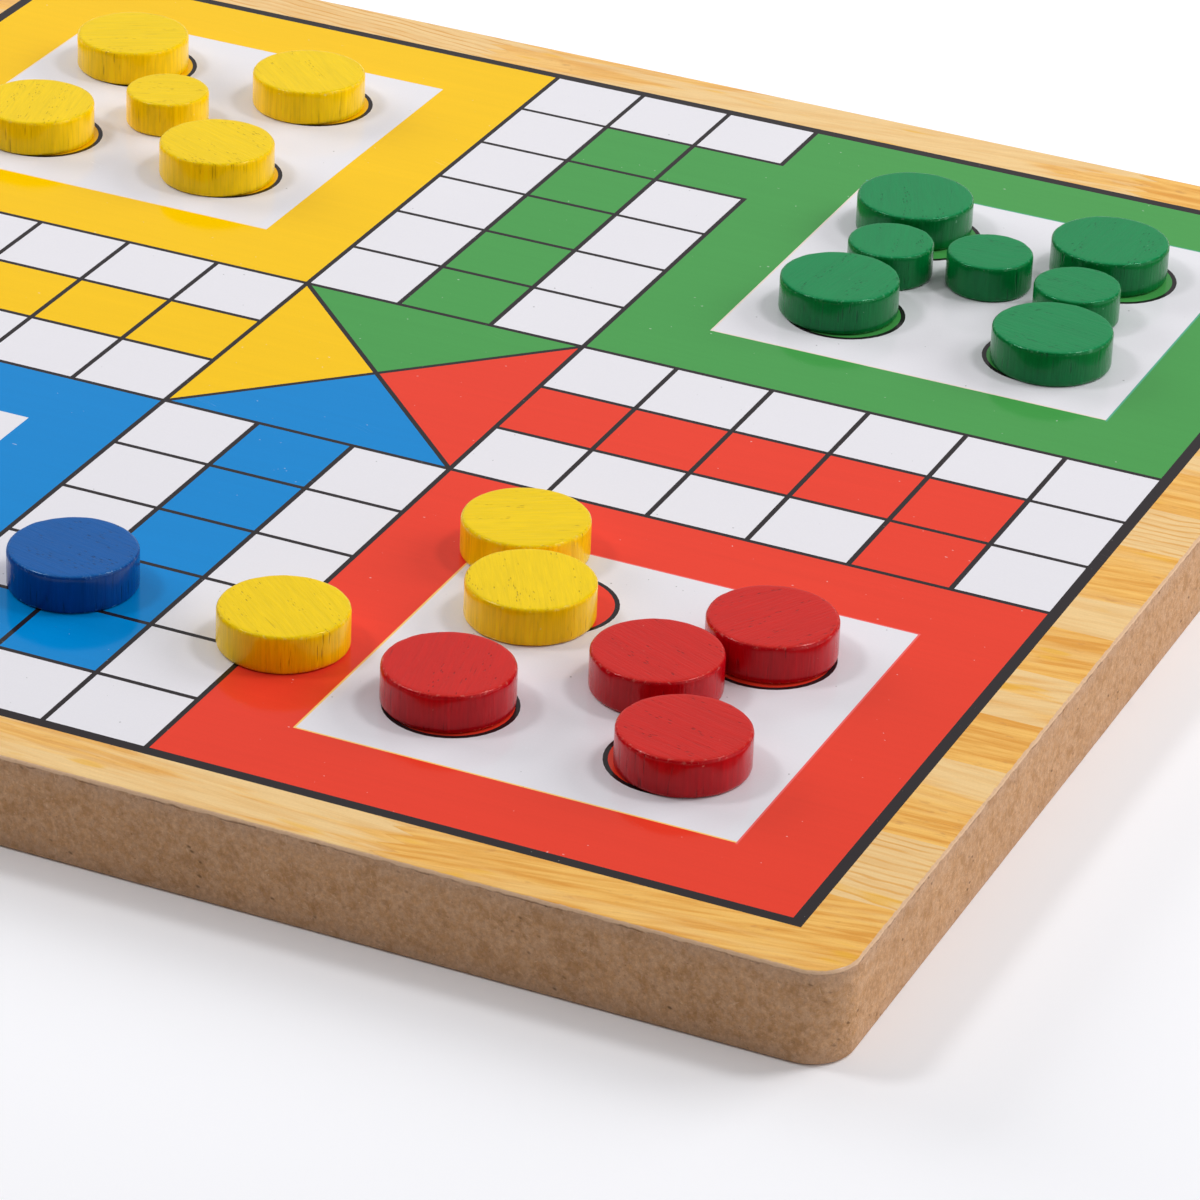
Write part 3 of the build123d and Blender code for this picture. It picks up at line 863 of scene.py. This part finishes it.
def figure_shape(character):
    """The closed thin mesh of one figure, as points and faces."""
    curve = bpy.data.curves.new("figure", "FONT")
    curve.body = character
    curve.size = number_height
    curve.extrude = print_depth
    curve.resolution_u = 2
    holder = bpy.data.objects.new("figure", curve)
    bpy.context.collection.objects.link(holder)
    mesh = bpy.data.meshes.new_from_object(holder.evaluated_get(bpy.context.evaluated_depsgraph_get()))
    bpy.data.objects.remove(holder)
    return [tuple(vertex.co) for vertex in mesh.vertices], [tuple(face.vertices) for face in mesh.polygons]


def disc(u, v, radius, steps=20):
    """The outline of a round print."""
    angles = [2 * pi * i / steps for i in range(steps)]
    return [(u + radius * cos(angle), v + radius * sin(angle)) for angle in angles]


def slab_shape(outline, depth):
    """The closed thin mesh of a drawn outline that runs anticlockwise."""
    count = len(outline)
    points = [(u, v, -depth) for u, v in outline] + [(u, v, depth) for u, v in outline]
    sides = [(i, (i + 1) % count, count + (i + 1) % count, count + i) for i in range(count)]
    return points, [tuple(reversed(range(count))), tuple(range(count, 2 * count))] + sides


def under_print(name, shapes, slot):
    """One piece out of thin shapes, turned to face down from the underside."""
    points, faces = [], []
    for u0, v0, (shape_points, shape_faces) in shapes:
        start = len(points)
        points += [(-(u0 + u), v0 + v, -depth) for u, v, depth in shape_points]
        faces += [tuple(start + i for i in face) for face in shape_faces]
    mesh = bpy.data.meshes.new(name)
    mesh.from_pydata(points, [], faces)
    mesh.materials.append(finishes[slot])
    piece = bpy.data.objects.new(name, mesh)
    bpy.context.collection.objects.link(piece)
    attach(piece, "board")


def number_squares():
    """The numbers run to and fro up the board, one in the corner of each square."""
    figures = {str(i): figure_shape(str(i)) for i in range(10)}
    shapes = []
    for row in range(squares_across):
        for column in range(squares_across):
            counted = column if row % 2 == 0 else squares_across - 1 - column
            u, v = square_middle(column, row)
            u += number_margin - square / 2
            v += square / 2 - number_margin - figure_share * number_height
            for place, character in enumerate(str(row * squares_across + counted + 1)):
                shapes.append((u + place * number_step, v, figures[character]))
    under_print("square_numbers", shapes, "printed_black")


def draw_snake_faces():
    """Two eyes and a forked tongue on the head of each snake."""
    whites, pupils, tongues = [], [], []
    for head, tail in snakes:
        u, v = square_middle(*head)
        tail_u, tail_v = square_middle(*tail)
        ahead = atan2(v - tail_v, u - tail_u)
        along = (cos(ahead), sin(ahead))
        for side in (-1, 1):
            eye_u = eye_spread * (along[0] - side * along[1])
            eye_v = eye_spread * (along[1] + side * along[0])
            whites.append((u, v, slab_shape(disc(eye_u, eye_v, eye_radius), print_depth)))
            look_u = eye_u + pupil_ahead * along[0]
            look_v = eye_v + pupil_ahead * along[1]
            pupils.append((u, v, slab_shape(disc(look_u, look_v, pupil_radius), pupil_depth)))
        turned = [((b * along[0] + a * along[1]) * MM, (b * along[1] - a * along[0]) * MM) for a, b in tongue]
        tongues.append((u, v, slab_shape(turned, print_depth)))
    under_print("snake_eyes", whites, "printed_white")
    under_print("snake_pupils", pupils, "printed_black")
    under_print("snake_tongues", tongues, "printed_red")


# Light and floor

large_box = (0.8, 0.6)
large_box_away = 1.3
small_box = (0.20, 0.20)
small_box_away = 1.2
floor_reach = 4.0


def soft_box(name, way, away, size, power, mirrored=True):
    """A soft lamp some way off that looks back at the board. Gloss can leave it out, against glare."""
    place = Vector(way).normalized() * away
    data = bpy.data.lights.new(name, "AREA")
    data.shape = "RECTANGLE"
    data.size, data.size_y = size
    data.energy = power
    lamp = bpy.data.objects.new(name, data)
    lamp.location = place
    lamp.rotation_mode = "QUATERNION"
    lamp.rotation_quaternion = (-place).to_track_quat("-Z", "Y")
    lamp.visible_glossy = mirrored
    bpy.context.collection.objects.link(lamp)


# Bright parts of the room: the way to each, the cosine at which its glow starts, and its strength. All are at
# their full strength at the same cosine.
room_glow = 0.08
full_glow = 0.98
bright_parts = [
    ((0, 0, 1), 0.55, 0.40),
    ((0.95, 0, 0.3), 0.75, 0.95),
    ((-0.35, 0.81, 0.30), 0.70, 0.33),
]


def soft_room():
    """A dim room with a bright side to the right, and softer glows overhead and at the back."""
    world = bpy.data.worlds.new("soft_room")
    world.use_nodes = True
    nodes, links = world.node_tree.nodes, world.node_tree.links
    way = nodes.new("ShaderNodeTexCoord").outputs["Generated"]
    glow = room_glow
    for middle, start, strength in bright_parts:
        facing = nodes.new("ShaderNodeVectorMath")
        facing.operation = "DOT_PRODUCT"
        links.new(way, facing.inputs[0])
        facing.inputs[1].default_value = Vector(middle).normalized()
        rise = nodes.new("ShaderNodeMapRange")
        rise.interpolation_type = "SMOOTHSTEP"
        links.new(facing.outputs["Value"], rise.inputs["Value"])
        levels = {"From Min": start, "From Max": full_glow, "To Min": 0.0, "To Max": strength}
        for name, value in levels.items():
            rise.inputs[name].default_value = value
        total = nodes.new("ShaderNodeMath")
        links.new(rise.outputs[0], total.inputs[0])
        if isinstance(glow, float):
            total.inputs[1].default_value = glow
        else:
            links.new(glow, total.inputs[1])
        glow = total.outputs[0]
    links.new(glow, nodes["Background"].inputs["Strength"])
    nodes["Background"].inputs["Color"].default_value = (1, 1, 1, 1)
    bpy.context.scene.world = world


def set_studio():
    """Two large boxes behind the board, two small ones above it that show in its gloss, and a pale floor."""
    soft_room()
    soft_box("right_back_box", (0.62, 0.62, 0.48), large_box_away, large_box, 7.8, mirrored=False)
    soft_box("left_back_box", (-0.88, 0.25, 0.40), large_box_away, large_box, 8.3, mirrored=False)
    soft_box("upper_left_box", (-0.50, -0.20, 0.84), small_box_away, small_box, 3.0)
    soft_box("upper_right_box", (0.47, 0.24, 0.84), small_box_away, small_box, 3.0)

    mesh = bpy.data.meshes.new("floor")
    far = floor_reach
    mesh.from_pydata([(-far, -far, 0), (far, -far, 0), (far, far, 0), (-far, far, 0)], [], [(0, 1, 2, 3)])
    floor = bpy.data.objects.new("floor", mesh)
    bpy.context.collection.objects.link(floor)
    recipe = Recipe("pale_floor")
    faint = recipe.vary((recipe.noise(recipe.place, 3, 2), 0.02))
    mesh.materials.append(recipe.finish(recipe.shaded(ink("FBFBFF"), faint), 0.8, Specular_IOR_Level=0.1))


bpy.context.scene.view_settings.view_transform = "Standard"
set_camera()
set_studio()
for node in frame["nodes"]:
    dress(node)
make_tokens()
number_squares()
draw_snake_faces()
